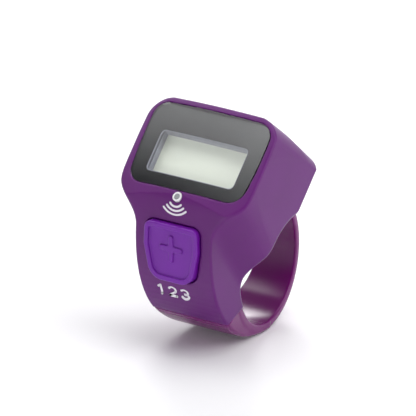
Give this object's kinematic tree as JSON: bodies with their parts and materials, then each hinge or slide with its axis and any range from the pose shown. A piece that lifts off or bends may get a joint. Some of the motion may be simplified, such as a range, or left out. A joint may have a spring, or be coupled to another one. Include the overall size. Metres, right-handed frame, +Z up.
{
  "type": "finger tally counter",
  "caption": "Finger-worn digital tally counter in gloss purple plastic: ring band, tilted display head, press button below the display and a slide-out coin cell drawer.",
  "frame": {"origin": "centre of the finger hole, midway across the band", "axes": "+X along the finger hole's axis, +Z up from the finger towards the display head, -Y is the side that the count button faces"},
  "size_m": [0.024, 0.0287, 0.0363],
  "materials": {
    "case_purple": "gloss moulded ABS",
    "ring_purple": "gloss moulded ABS",
    "button_violet": "satin moulded plastic",
    "clear_lens": "clear gloss acrylic",
    "black_print": "printed black ink",
    "grey_plastic": "satin moulded",
    "polarizer": "anti-glare film",
    "lcd_glass": "float glass",
    "reflector": "satin silver film",
    "pink_rubber": "silicone with carbon layers",
    "circuit_board": "solder mask",
    "epoxy": "cured epoxy blob",
    "steel": "plated steel",
    "ceramic_chip": "fired ceramic",
    "lamp_epoxy": "clear epoxy lamp over a grey die cup",
    "white_plastic": "white moulded ring",
    "black_plastic": "glass-filled nylon",
    "ribbon_film": "polyimide film",
    "contact_brass": "gold-flashed phosphor bronze",
    "plunger_cream": "acetal"
  },
  "bodies": {
    "root": {"front_case": "case_purple", "ring_case": "ring_purple", "case_screws": "steel", "display_lens": "clear_lens", "lens_mask": "black_print", "lens_adhesive": "black_print", "lcd_frame": "grey_plastic", "lcd_front_polarizer": "polarizer", "lcd_front_glass": "lcd_glass", "lcd_rear_glass": "lcd_glass", "lcd_reflector": "reflector", "zebra_connector": "pink_rubber", "main_board": "circuit_board", "counter_chip": "epoxy", "crystal": "steel", "board_components": "ceramic_chip", "status_lamp": "lamp_epoxy", "lamp_collar": "white_plastic", "switch_board": "circuit_board", "switch_body": "black_plastic", "switch_dome": "steel", "flex_ribbon": "ribbon_film", "contact_negative": "contact_brass", "contact_positive": "contact_brass"},
    "button": {"count_button": "button_violet", "switch_plunger": "plunger_cream"},
    "drawer": {"battery_drawer": "ring_purple", "coin_cell": "steel"}
  },
  "joints": [
    {"name": "button_press", "type": "slide", "parent": "root", "child": "button", "axis": [0, 1, 0], "range_m": [0, 0.0004], "stiffness_N_per_m": 2500},
    {"name": "battery_drawer_slide", "type": "slide", "parent": "root", "child": "drawer", "axis": [0, 0.6561, 0.7547], "range_m": [0, 0.013]}
  ]
}
